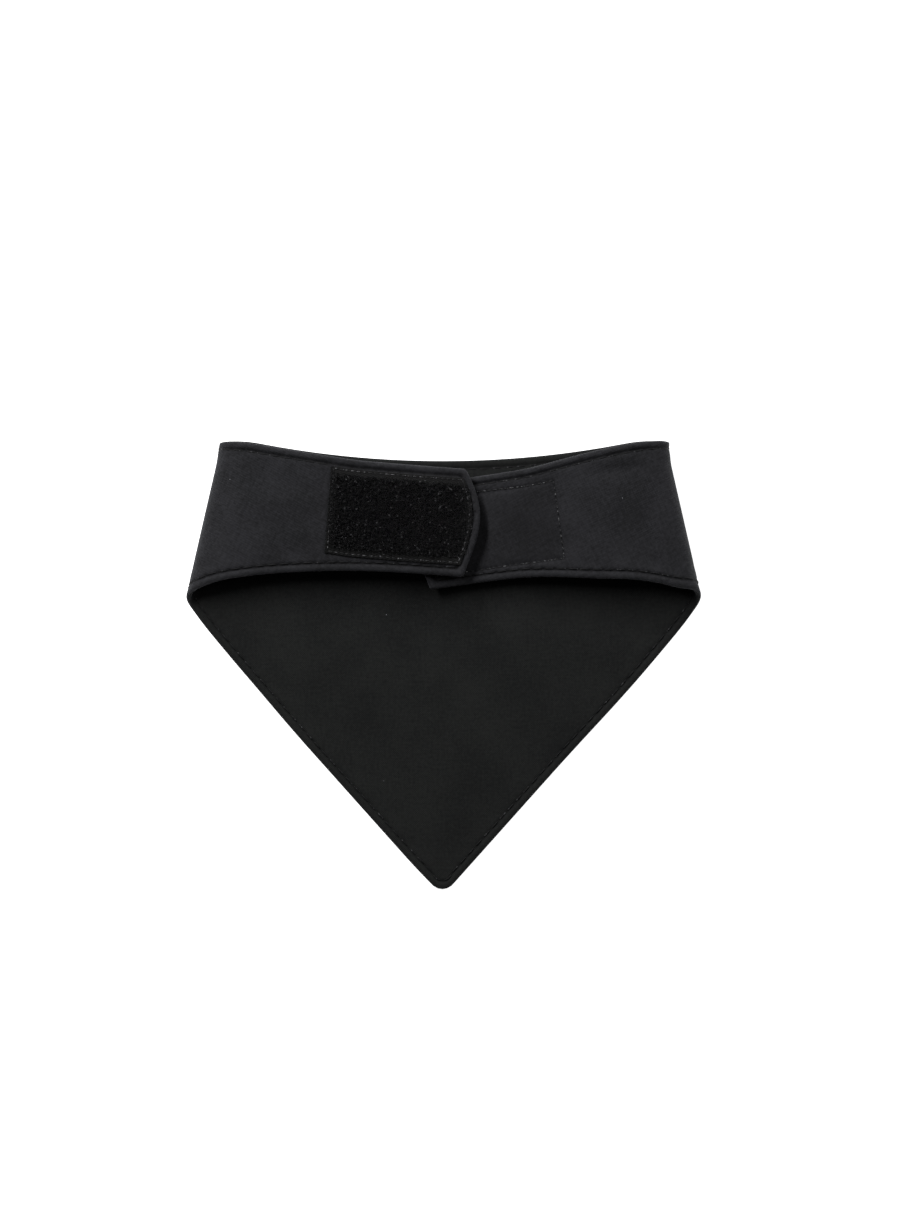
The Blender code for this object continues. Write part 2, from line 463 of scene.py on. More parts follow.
def ripples(points, wavelength, seed, waves=20):
    """Gentle seeded noise over points: the sum of cosine waves that run in random directions.

    Their lengths lie from 0.7 to 1.5 times the wavelength, and the sum is scaled to stay mostly
    between -1 and 1.
    """
    draw = np.random.default_rng(seed)
    angle, phase = draw.uniform(0.0, 2 * math.pi, (2, waves))
    number = 2 * math.pi / (wavelength * draw.uniform(0.7, 1.5, waves))
    direction = np.stack([np.cos(angle), np.sin(angle)]) * number
    return np.cos(points @ direction + phase).sum(-1) / math.sqrt(waves)


def on_cut(station, run):
    """Points of the flat cut: a section line's start plus its direction times the run.

    Near the arm's end they move out by a power of half a sine wave across the arm, which makes the end
    round, and by a slant. In the two corner squares, the elliptical square-to-disc mapping rounds the
    corner off.
    """
    start, section, length, _, _ = look_up(station)
    share = run / length
    to_end = ARM_END - station
    near_end = np.clip(1 - to_end / ARM_END_BLEND, 0.0, 1.0)
    round_end = np.sin(math.pi * np.clip(share, 0.0, 1.0) ** ARM_END_SKEW) ** ARM_END_POWER
    swell = near_end * (ARM_END_BULGE * round_end + ARM_END_SLANT * share)
    end_near = np.clip(1 - to_end / CORNER, 0.0, 1.0)
    top_near = np.clip(1 - run / CORNER, 0.0, 1.0)
    bottom_near = np.clip(1 - (length - run) / CORNER, 0.0, 1.0)
    pull_in = CORNER * end_near * (1 - np.sqrt(1 - (top_near + bottom_near) ** 2 / 2))
    pull_across = CORNER * (top_near - bottom_near) * (1 - np.sqrt(1 - end_near**2 / 2))
    points = start + (run + pull_across)[..., None] * section
    return points + (swell - pull_in)[..., None] * ARM_DIRECTION


def past_crease(points, side):
    """Distance of the flat cut's points past the start of the crease, and their run along it.

    The cloth is thinner than the part's wall, so its middle reaches further out at the fold. The crease
    takes up that length twice, on its way out and back.
    """
    out = np.array([math.cos(FOLD_LEAN), math.sin(FOLD_LEAN)])
    from_edge = points - np.array([FOLD_OUT + side * FOLD_SHIFT, 0.0])
    past = from_edge @ out + CREASE_RADIUS + SOLID_HALF - FOLD_REACH
    along = from_edge @ np.array([-out[1], out[0]])
    return past + 2 * FOLD_REACH * smooth(past, 0.0, REACH_BLEND), along


def at_corner(corner, past, run):
    """A corner's move: its size times a bell down the run and one about the fold's nose."""
    return corner.move * bell(run, corner.run_width) * bell(past - FOLD_NOSE, corner.past_width)


def side_bow(points, side):
    """How far out a side of the panel lies: a soft step down its depth that fades, times one across."""
    bow = SIDE_BOWS[side]
    depth = -points[..., 1]
    below = smooth(depth, *bow.grows) * (1 - smooth(depth, *bow.fades))
    return bow.out * below * smooth(points[..., 0], *bow.across)


def place(station, run, level, side):
    """Folds points of the flat cut, at a level of the cloth's thickness, to where they lie.

    The distance past the crease is walked along the arm's side view, the run along the crease stays as
    it is, and the level moves a point square to the walked path. The fold's top corner is pushed out
    and rounded off, the panel's sides bow out, and no cloth goes below what it rests on. The left arm's
    end drops onto the right arm. The right arm sags beside its fold, by more towards its lower edge,
    and its upper edge drops further in. Each arm then swings a little in its own plane, about a point
    near the fold. The left half is mirrored at the end.
    """
    points = on_cut(station, run)
    past, along = past_crease(points, side)
    distance, inward, up, heading = walk(RIGHT_ARM_PROFILE if side > 0 else LEFT_ARM_PROFILE)
    turned = np.interp(past, distance, heading)
    folded = np.where(past > 0, np.interp(past, distance, inward), past)
    folded = folded + FOLD_REACH - CREASE_RADIUS - SOLID_HALF
    folded = folded + at_corner(CORNER_PUSH[side], past, run) + level * np.sin(turned)
    for drop in CORNER_DROPS:
        along = along - at_corner(drop, past, run)
    height = SOLID_HALF - SETTLE + np.interp(past, distance, up) - level * np.cos(turned)
    height = np.maximum(height, REST_HEIGHT)

    x = FOLD_OUT + side * FOLD_SHIFT + folded * math.cos(FOLD_LEAN) - along * math.sin(FOLD_LEAN)
    y = folded * math.sin(FOLD_LEAN) + along * math.cos(FOLD_LEAN)
    x = x + side_bow(points, side)
    if side > 0:
        beside_fold = smooth(past, *SAG_IN) * (1 - smooth(past, *SAG_OUT))
        y = y - RIGHT_ARM_SAG * beside_fold * np.clip(-along / ARM_WIDTH, 0.0, SAG_LIMIT)
        y = y - RIGHT_TOP_DROP * bell(run, RIGHT_TOP_WIDTH) * smooth(past, *RIGHT_TOP)
    else:
        height = height - LEFT_END_DROP * smooth(past, *LEFT_END)

    swing = RIGHT_ARM_SWING if side > 0 else LEFT_ARM_SWING
    angle = swing * smooth(past, SWING_START, SWING_END)
    x, y = x - (FOLD_OUT - SWING_START), y + ARM_WIDTH / 2
    swung_x = x * np.cos(angle) - y * np.sin(angle) + FOLD_OUT - SWING_START
    swung_y = x * np.sin(angle) + y * np.cos(angle) - ARM_WIDTH / 2
    return np.stack([side * swung_x + CUT_MIDDLE_X, swung_y + NECK_Y, height], -1)


def edge_distance(station, run):
    """Distance in from the cut's nearest edge: the neckline, the lower edge or the arm's end.

    Each is measured square to its edge. The least is a soft one, minus the logarithm of the sum of the
    exponentials, so two edges meet in a rounded mitre.
    """
    _, _, length, top_square, bottom_square = look_up(station)
    distances = np.stack([run * top_square, (length - run) * bottom_square, ARM_END - station])
    return np.maximum(-EDGE_BLEND * np.log(np.exp(-distances / EDGE_BLEND).sum(0)), 0.0)


def inside(station, run, bounds):
    """Signed distance in from a rectangle of the cut: the least distance to its four sides."""
    first, last, upper, lower = bounds
    return np.minimum.reduce([station - first, last - station, run - upper, lower - run])


def stitch_line(station, run, pitch):
    """Evenly spaced needle holes along a line of the flat cut.

    The line is measured by the sum of its steps, and the pitch is stretched to fit a whole number of
    stitches. Returns the measured distance along the line and the holes' distances.
    """
    steps = np.linalg.norm(np.diff(on_cut(station, run), axis=0), axis=1)
    walked = np.concatenate([[0.0], np.cumsum(steps)])
    return walked, np.linspace(0.0, walked[-1], round(walked[-1] / pitch) + 1)


def top_lines():
    """The three lines of the topstitching: along the neckline, the arm's end and the lower edge."""
    last = ARM_END - STITCH_INSET
    station = np.linspace(0.0, last, EDGE_LINE_POINTS)
    _, _, length, top_square, bottom_square = look_up(station)
    upper = STITCH_INSET / top_square
    lower = length - STITCH_INSET / bottom_square
    end_run = np.linspace(upper[-1], lower[-1], END_LINE_POINTS)
    return (station, upper), (np.full(END_LINE_POINTS, last), end_run), (station[::-1], lower[::-1])


def box_lines(tape):
    """The four sides of a tape's stitched box. The upper side may lean up towards the arm's end."""
    first, last, upper, lower = tape.box()
    corners = np.array([
        (first, upper), (last, upper - tape.box_lean), (last, lower), (first, lower), (first, upper),
    ])
    share = np.linspace(0.0, 1.0, BOX_LINE_POINTS)[:, None]
    return [tuple((start + share * (end - start)).T) for start, end in zip(corners[:-1], corners[1:])]


def needle_holes(side):
    """Every needle hole of one half of the cut, as points of the flat cut."""
    holes = []
    for lines, pitch in ((top_lines(), TOP_PITCH), (box_lines(TAPES[side]), BOX_PITCH)):
        for station, run in lines:
            walked, at = stitch_line(station, run, pitch)
            holes.append(on_cut(np.interp(at, walked, station), np.interp(at, walked, run)))
    return np.concatenate(holes)


def hole_distance(points, side):
    """Distance of each point of the flat cut to the nearest needle hole."""
    flat = points.reshape(-1, 1, 2)
    return np.linalg.norm(flat - HOLES[side][None], axis=2).min(1).reshape(points.shape[:-1])


def sway(points, past, side):
    """How the whole sandwich of an arm bends: slow ripples and the listed troughs.

    A trough is a bell curve across its line that fades out towards the line's ends.
    """
    bend = SWAY_HEIGHT * ripples(points, SWAY_WAVE, SWAY_SEED + side)
    for trough in TROUGHS:
        if trough.side == side:
            start, end = (on_cut(*np.array(ends) * MM) for ends in (trough.start_mm, trough.end_mm))
            length = np.linalg.norm(end - start)
            line = (end - start) / length
            offset = points - (start + end) / 2
            along, across = offset @ line, offset @ np.array([-line[1], line[0]])
            fade = bell(along, length * TROUGH_FADE)
            bend = bend - trough.depth_mm * MM * fade * bell(across, trough.width_mm * MM)
    return smooth(past, *SWAY_START) * bend


def cloth_level(face, side, station, run):
    """Level of a cloth's outer face: the sandwich's half thickness and what sewing does to it.

    From the edge inwards the face is a quarter round, a puffed roll of uneven height, a groove with a
    dimple at each needle hole, and then level cloth that puckers a little. The fold presses the hem
    flat. A tape's stitching draws in both faces, and the lining swells softly over the panel.
    """
    points = on_cut(station, run)
    past, _ = past_crease(points, side)
    edge = edge_distance(station, run)
    pressed = 1 - PRESSED_SHARE * bell(past - PRESSED_PLACE, PRESSED_WIDTH)
    uneven = 1 + ROLL_UNEVEN * ripples(points, ROLL_WAVE, ROLL_SEED + side)
    half = CLOTH_HALF + pressed * ROLL_HEIGHT[face] * uneven * bell(edge - ROLL_PLACE, ROLL_WIDTH)
    half = half - pressed * GROOVE_DEPTH[face] * bell(edge - GROOVE_PLACE, GROOVE_WIDTH)
    half = half - pressed * DIMPLE_DEPTH * bell(hole_distance(points, side), DIMPLE_WIDTH)
    pucker = bell(edge - PUCKER_PLACE, PUCKER_WIDTH)
    half = half + PUCKER_HEIGHT * pucker * ripples(points, PUCKER_WAVE, PUCKER_SEED + 2 * side + face)
    box = inside(station, run, TAPES[side].box())
    half = half - BOX_GROOVE_DEPTH * bell(box, BOX_GROOVE_WIDTH)
    half = half + BOX_SWELL * smooth(box, 0.0, BOX_SWELL_REACH)
    if face < 0:
        swell = np.clip(0.5 + 0.5 * ripples(points, PANEL_WAVE, PANEL_SEED + side), 0.0, SWELL_LIMIT)
        half = half + smooth(-past, *PANEL_START) * PANEL_SWELL * swell * smooth(edge, *PANEL_HEM)
    half = SEAM_OPEN + (half - SEAM_OPEN) * quarter_round(edge / EDGE_ROUND)
    return face * half + sway(points, past, side)


def cloth_shade(face, side, station, run):
    """Share of a cloth's colour left under painted shade: less in the groove, at the needle holes, over a
    tape.

    The lining's painted groove shade is as dark as the outer cloth's along the neckline, and faint
    elsewhere.
    """
    points = on_cut(station, run)
    # Painted shade in the groove and at the needle holes
    depth = np.where((face > 0) | (run < NECK_HEM), GROOVE_SHADE[1], GROOVE_SHADE[-1])
    groove = depth * bell(edge_distance(station, run) - GROOVE_PLACE, GROOVE_SHADE_WIDTH)
    hole = HOLE_SHADE * bell(hole_distance(points, side), HOLE_WIDTH)
    # Painted shade over the tape's stitched box
    painted_box_shade = PAINTED_BOX_SHADE * smooth(inside(station, run, TAPES[side].box()), 0.0, PAINTED_BOX_EDGE)
    return (1 - groove) * (1 - hole) * (1 - painted_box_shade)


def tape_shade(tape, station, run):
    """Share of a tape's colour left under painted shade: less at its border, first end and needle holes.
    """
    border = BORDER_SHADE * (1 - smooth(inside(station, run, tape.bounds()), 0.0, BORDER_WIDTH))
    start = TAPE_START_SHADE * (1 - smooth(station - tape.bounds()[0], *TAPE_START))
    hole = HOLE_SHADE * bell(hole_distance(on_cut(station, run), tape.side), HOLE_WIDTH)
    return (1 - np.maximum(border, start)) * (1 - hole)


def tape_level(tape, station, run):
    """Level of a tape's outer face: on the cloth, with round edges, drawn in along its stitching."""
    points = on_cut(station, run)
    past, _ = past_crease(points, tape.side)
    thick = TAPE_RISE * quarter_round(inside(station, run, tape.bounds()) / TAPE_ROUND)
    thick = thick - TAPE_GROOVE_DEPTH * bell(inside(station, run, tape.box()), TAPE_SEAM_WIDTH)
    thick = thick - TAPE_DIMPLE_DEPTH * bell(hole_distance(points, tape.side), TAPE_SEAM_WIDTH)
    return tape.face * (CLOTH_HALF - TAPE_SUNK + thick) + sway(points, past, tape.side)


def link(name, vertices, faces, material, uv=None, shade=None):
    """Makes a mesh object at the origin from arrays, smooth.

    uv is each vertex's place on the flat cut, and shade how much of its colour is left under the
    painted shade in the seams.
    """
    mesh = bpy.data.meshes.new(name)
    mesh.from_pydata(vertices.tolist(), [], faces)
    mesh.shade_smooth()
    mesh.materials.append(material)
    if uv is not None:
        corner_vertices = np.zeros(len(mesh.loops), np.int32)
        mesh.loops.foreach_get("vertex_index", corner_vertices)
        layer = mesh.uv_layers.new(name="cut")
        layer.uv.foreach_set("vector", uv[corner_vertices].astype(np.float32).ravel())
    if shade is not None:
        attribute = mesh.attributes.new("shade", "FLOAT", "POINT")
        attribute.data.foreach_set("value", shade.astype(np.float32).ravel())
    piece = bpy.data.objects.new(name, mesh)
    bpy.context.scene.collection.objects.link(piece)
    return piece


def sheet_piece(name, grid, uv, shade, wall, face, material):
    """A grid of points as a thin cloth: its quads face the level's side, and the wall grows inwards."""
    columns, rows = grid.shape[:2]
    index = np.arange(columns * rows).reshape(columns, rows)
    corners = [index[:-1, :-1], index[:-1, 1:], index[1:, 1:], index[1:, :-1]]
    quads = np.stack(corners[::-1] if face > 0 else corners, -1).reshape(-1, 4)
    piece = link(name, grid.reshape(-1, 3), quads.tolist(), material, uv.reshape(-1, 2), shade)
    thicken = piece.modifiers.new("wall", "SOLIDIFY")
    thicken.thickness = wall
    thicken.offset = -1.0
    return piece


def tube_piece(name, lines, radius, sides, material):
    """Many short closed tubes in one mesh, along centre lines of shape (tubes, points, 3).

    A tube's ring at each point is the point plus the radius times the cosine of the side's angle along
    the line's own normal and the sine along the normal of the plane that the line lies in.
    """
    plane = np.cross(lines[:, -1] - lines[:, 0], lines[:, lines.shape[1] // 2] - lines[:, 0])
    plane = (plane / np.linalg.norm(plane, axis=1, keepdims=True))[:, None, None]
    tangent = np.gradient(lines, axis=1)
    normal = np.cross(tangent, plane[:, 0])
    normal = (normal / np.linalg.norm(normal, axis=2, keepdims=True))[:, :, None]
    angle = 2 * math.pi * np.arange(sides)[:, None] / sides
    rings = lines[:, :, None] + radius * (np.cos(angle) * normal + np.sin(angle) * plane)

    tubes, points = lines.shape[:2]
    index = np.arange(tubes * points * sides).reshape(tubes, points, sides)
    turned = np.roll(index, -1, axis=2)
    walls = np.stack([index[:, :-1], turned[:, :-1], turned[:, 1:], index[:, 1:]], -1).reshape(-1, 4)
    faces = walls.tolist() + index[:, 0, ::-1].tolist() + index[:, -1].tolist()
    return link(name, rings.reshape(-1, 3), faces, material)


def cut_stations():
    """Stations of one half's columns, finer over the crease and the arm and finest at its end."""
    panel = np.linspace(0.0, CREASE_START, PANEL_COLUMNS + 1)
    crease = np.linspace(CREASE_START, CREASE_END, CREASE_COLUMNS + 1)
    arm = np.linspace(CREASE_END, ARM_END - MARGIN, ARM_COLUMNS + 1)
    end = ARM_END - MARGIN * np.linspace(1.0, 0.0, MARGIN_LINES + 1) ** MARGIN_POWER
    return np.concatenate([panel, crease[1:], arm[1:], end[1:]])


def cut_runs(station):
    """Runs of the rows at each station: close and parallel to both edges, and even in between."""
    _, _, length, top_square, bottom_square = look_up(station)
    margin = MARGIN * np.linspace(0.0, 1.0, MARGIN_LINES + 1) ** MARGIN_POWER
    upper = margin / top_square[:, None]
    lower = length[:, None] - margin[::-1] / bottom_square[:, None]
    share = np.linspace(0.0, 1.0, MIDDLE_ROWS + 1)[1:-1]
    middle = upper[:, -1:] + share * (lower[:, :1] - upper[:, -1:])
    return np.concatenate([upper, middle, lower], 1)


def cloth_piece(name, face, material):
    """One cloth of the sandwich, from the left arm's end to the right one's."""
    station = cut_stations()
    run = cut_runs(station)
    station = np.broadcast_to(station[:, None], run.shape)
    flat = on_cut(station, run)
    halves = [place(station, run, cloth_level(face, side, station, run), side) for side in (-1, 1)]
    shades = [cloth_shade(face, side, station, run) for side in (-1, 1)]
    grid = np.concatenate([halves[0][:0:-1], halves[1]])
    uv = np.concatenate([(flat * [-1, 1])[:0:-1], flat])
    shade = np.concatenate([shades[0][:0:-1], shades[1]])
    return sheet_piece(name, grid, uv, shade, CLOTH, face, material)


def tape_piece(name, tape, material):
    """A woven tape sewn to an arm, a grid between its margins with closer lines at its border."""
    first, last, upper, lower = tape.bounds()
    border = TAPE_ROUND * np.array(TAPE_BORDER_LINES)
    spans = []
    for start, end, count in ((first, last, TAPE_COLUMNS), (upper, lower, TAPE_ROWS)):
        inner = np.linspace(start + TAPE_ROUND, end - TAPE_ROUND, count)[1:-1]
        spans.append(np.concatenate([start + border, inner, end - border[::-1]]))
    station, run = np.meshgrid(*spans, indexing="ij")
    grid = place(station, run, tape_level(tape, station, run), tape.side)
    flat = on_cut(station, run) * [tape.side, 1]
    shade = tape_shade(tape, station, run)
    left_to_right = (values[::tape.side] for values in (grid, flat, shade))
    return sheet_piece(name, *left_to_right, TAPE_WALL, tape.face, material)


def stitch_lines(lines, pitch, face, side, level, skip=None):
    """Centre lines of the stitches along some lines of the flat cut.

    Each stitch spans nine tenths of the pitch. It comes out of the cloth and goes back in along the
    square root of a half sine wave. level gives the height of what it is sewn to. Stitches that lie in
    the rectangle skip are left out, and none is pressed below the surface that the cloth rests on.
    """
    share = np.linspace(0.0, 1.0, STITCH_POINTS)
    along = (1 - STITCH_SPAN) / 2 + STITCH_SPAN * share
    lift = STITCH_RISE * np.sqrt(np.sin(math.pi * share)) - STITCH_SUNK
    made = []
    for station, run in lines:
        walked, holes = stitch_line(station, run, pitch)
        at = holes[:-1, None] + (holes[1] - holes[0]) * along
        stitch_station, stitch_run = np.interp(at, walked, station), np.interp(at, walked, run)
        if skip:
            shown = inside(stitch_station, stitch_run, skip)[:, STITCH_POINTS // 2] < 0
            stitch_station, stitch_run = stitch_station[shown], stitch_run[shown]
        height = level(stitch_station, stitch_run) + face * lift
        placed = place(stitch_station, stitch_run, height, side)
        placed[..., 2] = np.maximum(placed[..., 2], REST_HEIGHT + THREAD_RADIUS)
        made.append(placed)
    return np.concatenate(made)


def topstitching(name, face, material):
    """The topstitching that shows on one cloth, left out where a tape covers it."""
    halves = []
    for side, tape in TAPES.items():
        first, last, upper, lower = tape.bounds()
        covered = (first - COVERED_END, last, upper - COVERED_EDGE, lower) if tape.face == face else None
        level = partial(cloth_level, face, side)
        halves.append(stitch_lines(top_lines(), TOP_PITCH, face, side, level, covered))
    return tube_piece(name, np.concatenate(halves), THREAD_RADIUS, THREAD_SIDES, material)


def box_stitching(name, tape, material):
    """The stitched box of one tape, on the tape and on the arm's other face."""
    lines, face, side = box_lines(tape), tape.face, tape.side
    on_tape = stitch_lines(lines, BOX_PITCH, face, side, partial(tape_level, tape))
    on_cloth = stitch_lines(lines, BOX_PITCH, -face, side, partial(cloth_level, -face, side))
    both = np.concatenate([on_tape, on_cloth])
    return tube_piece(name, both, BOX_THREAD_RADIUS, THREAD_SIDES, material)


def loop_pile(material):
    """The fuzzy field of the loop tape: thousands of small nylon loops at random turns and leans.

    A loop is a power of half a sine wave high over a cosine's width, and its top leans over by its own
    amount. Loops are short where the stitching holds them down.
    """
    draw = np.random.default_rng(LOOP_SEED)
    first, last, upper, lower = LOOP_TAPE.bounds()
    station = np.arange(first + LOOP_END_MARGIN, last, LOOP_SPACING)
    run = np.arange(upper + SELVAGE, lower - SELVAGE, LOOP_SPACING)
    roots = [grid.ravel() for grid in np.meshgrid(station, run, indexing="ij")]
    count = len(roots[0])
    station, run = (root + draw.uniform(-0.5, 0.5, count) * LOOP_SPACING for root in roots)
    turn = draw.uniform(0.0, 2 * math.pi, count)
    lean_turn = draw.uniform(0.0, 2 * math.pi, count)
    lean = draw.uniform(*LOOP_LEAN, count)
    half_width = draw.uniform(*LOOP_HALF_WIDTH_MM, count) * MM
    tall = LOOP_HEIGHT * draw.uniform(*LOOP_TALL, count)
    free = smooth(np.abs(inside(station, run, LOOP_TAPE.box())), *LOOP_FREE)
    tall = tall * (LOOP_HELD_SHARE + (1 - LOOP_HELD_SHARE) * free)

    share = np.linspace(0.0, 1.0, LOOP_POINTS)
    beside = -np.cos(math.pi * share) * half_width[:, None]
    high = np.sin(math.pi * share) ** LOOP_SHAPE * tall[:, None]
    over = high * lean[:, None]
    station = station[:, None] + beside * np.cos(turn)[:, None] + over * np.cos(lean_turn)[:, None]
    run = run[:, None] + beside * np.sin(turn)[:, None] + over * np.sin(lean_turn)[:, None]
    level = tape_level(LOOP_TAPE, station, run) + high - PILE_ROOT
    lines = place(station, run, level, LOOP_TAPE.side)
    return tube_piece("loop_pile", lines, LOOP_RADIUS, LOOP_SIDES, material)


def hook_field(material):
    """The hooks of the hook tape, in staggered rows: a stalk that curls over in an arc at its top."""
    first, last, upper, lower = HOOK_TAPE.bounds()
    apart, rows_apart = HOOK_SPACING
    station = np.arange(first + HOOK_END_MARGINS[0], last - HOOK_END_MARGINS[1], apart)
    run = np.arange(upper + SELVAGE, lower - SELVAGE, rows_apart)
    station, run = np.meshgrid(station, run, indexing="ij")
    station[:, ::2] += apart / 2
    station, run = station.ravel()[:, None], run.ravel()[:, None]

    share = np.linspace(0.0, 1.0, HOOK_POINTS)
    curl = HOOK_CURL * np.clip((share - HOOK_STALK_SHARE) / (1 - HOOK_STALK_SHARE), 0.0, 1.0)
    beside = HOOK_CURL_RADIUS * (1 - np.cos(curl))
    high = HOOK_STALK * np.minimum(share / HOOK_STALK_SHARE, 1.0) + HOOK_CURL_RADIUS * np.sin(curl)
    facing = np.where(np.arange(len(station)) % 2, 1.0, -1.0)[:, None]
    level = tape_level(HOOK_TAPE, station, run) + HOOK_TAPE.face * (high - PILE_ROOT)
    station = station + beside * facing
    lines = place(station, np.broadcast_to(run, station.shape), level, HOOK_TAPE.side)
    return tube_piece("hook_field", lines, HOOK_RADIUS, HOOK_SIDES, material)


def linear(colour):
    """An sRGB hex colour as linear red, green, blue and alpha."""
    parts = np.array([int(colour[digit:digit + 2], 16) for digit in (1, 3, 5)]) / 255
    low, high = parts / 12.92, ((parts + 0.055) / 1.055) ** 2.4
    return (*np.where(parts <= 0.04045, low, high).tolist(), 1.0)


def add(tree, kind, inputs=None, **settings):
    """Adds a node with its settings. inputs gives each socket a value or another socket to link from."""
    node = tree.nodes.new(kind)
    for name, value in settings.items():
        setattr(node, name, value)
    for name, value in (inputs or {}).items():
        if isinstance(value, bpy.types.NodeSocket):
            tree.links.new(value, node.inputs[name])
        else:
            node.inputs[name].default_value = value
    return node


def start_material(name, constants):
    """A new material with only an output and a Principled BSDF that holds its constant values."""
    material = bpy.data.materials.new(name)
    material.use_nodes = True
    tree = material.node_tree
    tree.nodes.clear()
    shader = add(tree, "ShaderNodeBsdfPrincipled", constants)
    add(tree, "ShaderNodeOutputMaterial", {"Surface": shader.outputs["BSDF"]})
    return material, tree, shader


def woven_cloth(name, dark, light, threads, bump, sheen):
    """Black plain weave of polyester or nylon: matt, with a faint sheen, slubs and a few lint specks.

    The tone is the sum of a fine noise, a cloudy one and, for the slubs, two that are drawn out along
    the threads. The vertices' shade darkens it with painted shade in the seams, at the needle holes and
    over the tapes. The bump is the weave, which is the product of a sine wave along each thread
    direction of the cut, and the fine noise's fibres.
    """
    material, tree, shader = start_material(name, {
        "Roughness": 0.82,
        "Specular IOR Level": 0.18,
        "Sheen Weight": sheen,
        "Sheen Roughness": 0.45,
        "Sheen Tint": linear("#c8ccd8"),
    })
    cut = add(tree, "ShaderNodeUVMap", uv_map="cut").outputs["UV"]
    split = add(tree, "ShaderNodeSeparateXYZ", {"Vector": cut})
    waves = []
    for axis in ("X", "Y"):
        turns = {0: split.outputs[axis], 1: 2 * math.pi / threads}
        phase = add(tree, "ShaderNodeMath", turns, operation="MULTIPLY").outputs[0]
        waves.append(add(tree, "ShaderNodeMath", {0: phase}, operation="SINE").outputs[0])
    weave = add(tree, "ShaderNodeMath", dict(enumerate(waves)), operation="MULTIPLY").outputs[0]
    grain, cloud = (
        add(tree, "ShaderNodeTexNoise", {"Vector": cut, "Scale": 1 / size, "Detail": 3.0}).outputs["Fac"]
        for size in (GRAIN, CLOUD)
    )

    mixed = add(tree, "ShaderNodeMath", {0: grain, 1: cloud}, operation="ADD").outputs[0]
    for wide, high in ((SLUB_WIDTH, SLUB_LENGTH), (SLUB_LENGTH, SLUB_WIDTH)):
        drawn_out = add(tree, "ShaderNodeMapping", {"Vector": cut, "Scale": (1 / wide, 1 / high, 1.0)})
        noise = {"Vector": drawn_out.outputs["Vector"], "Scale": 1.0, "Detail": 1.0}
        slub = add(tree, "ShaderNodeTexNoise", noise).outputs["Fac"]
        weighed = {0: slub, 1: SLUB_WEIGHT, 2: mixed}
        mixed = add(tree, "ShaderNodeMath", weighed, operation="MULTIPLY_ADD").outputs[0]
    low, high = TONE_RANGE
    tone = add(tree, "ShaderNodeMapRange", {"Value": mixed, "From Min": low, "From Max": high})
    ramp = add(tree, "ShaderNodeValToRGB", {"Fac": tone.outputs["Result"]})
    ramp.color_ramp.elements[0].color = linear(dark)
    ramp.color_ramp.elements[1].color = linear(light)

    cell = add(tree, "ShaderNodeTexVoronoi", {"Vector": cut, "Scale": 1 / LINT_SPACING})
    near = add(tree, "ShaderNodeMath", {0: cell.outputs["Distance"], 1: LINT_SIZE}, operation="LESS_THAN")
    pick = add(tree, "ShaderNodeSeparateXYZ", {"Vector": cell.outputs["Color"]})
    few = add(tree, "ShaderNodeMath", {0: pick.outputs["X"], 1: LINT_FREE}, operation="GREATER_THAN")
    speck = add(tree, "ShaderNodeMath", {0: near.outputs[0], 1: few.outputs[0]}, operation="MULTIPLY")
    # Painted shade: the colour is mixed towards black where the vertices' shade is low
    shade = add(tree, "ShaderNodeAttribute", attribute_name="shade").outputs["Fac"]
    painted_shade_mix = add(tree, "ShaderNodeMixRGB", {
        "Fac": shade, "Color1": linear("#000000"), "Color2": ramp.outputs["Color"],
    })
    lint = add(tree, "ShaderNodeMixRGB", {
        "Fac": speck.outputs[0], "Color1": painted_shade_mix.outputs["Color"], "Color2": linear("#6b6b70"),
    })
    tree.links.new(lint.outputs["Color"], shader.inputs["Base Color"])

    fibres = {0: grain, 1: FIBRE_WEIGHT, 2: weave}
    raised = add(tree, "ShaderNodeMath", fibres, operation="MULTIPLY_ADD").outputs[0]
    relief = add(tree, "ShaderNodeBump", {"Height": raised, "Strength": bump, "Distance": BUMP_DEPTH})
    tree.links.new(relief.outputs["Normal"], shader.inputs["Normal"])
    return material


def filament(name, dark, bright, roughness, specular, glints):
    """Black polyester or nylon filament, uneven in tone, with painted glints where it turns to the light.

    The tone is a fine noise, and the painted glints, bright spots in its colour, are a share, glints, of
    a Voronoi pattern's cells.
    """
    constants = {"Roughness": roughness, "Specular IOR Level": specular}
    material, tree, shader = start_material(name, constants)
    spot = add(tree, "ShaderNodeTexCoord").outputs["Object"]
    grain = add(tree, "ShaderNodeTexNoise", {"Vector": spot, "Scale": 1 / FILAMENT_GRAIN, "Detail": 2.0})
    ramp = add(tree, "ShaderNodeValToRGB", {"Fac": grain.outputs["Fac"]})
    ramp.color_ramp.elements[0].color = linear(dark)
    ramp.color_ramp.elements[1].color = linear("#141416")
    cell = add(tree, "ShaderNodeTexVoronoi", {"Vector": spot, "Scale": 1 / GLINT_SPACING})
    pick = add(tree, "ShaderNodeSeparateXYZ", {"Vector": cell.outputs["Color"]})
    # Painted glints: a share of the Voronoi cells take the bright colour, as painted highlights
    glint = add(tree, "ShaderNodeMath", {0: pick.outputs["X"], 1: glints}, operation="LESS_THAN")
    tone = add(tree, "ShaderNodeMixRGB", {
        "Fac": glint.outputs[0], "Color1": ramp.outputs["Color"], "Color2": linear(bright),
    })
    tree.links.new(tone.outputs["Color"], shader.inputs["Base Color"])
    return material


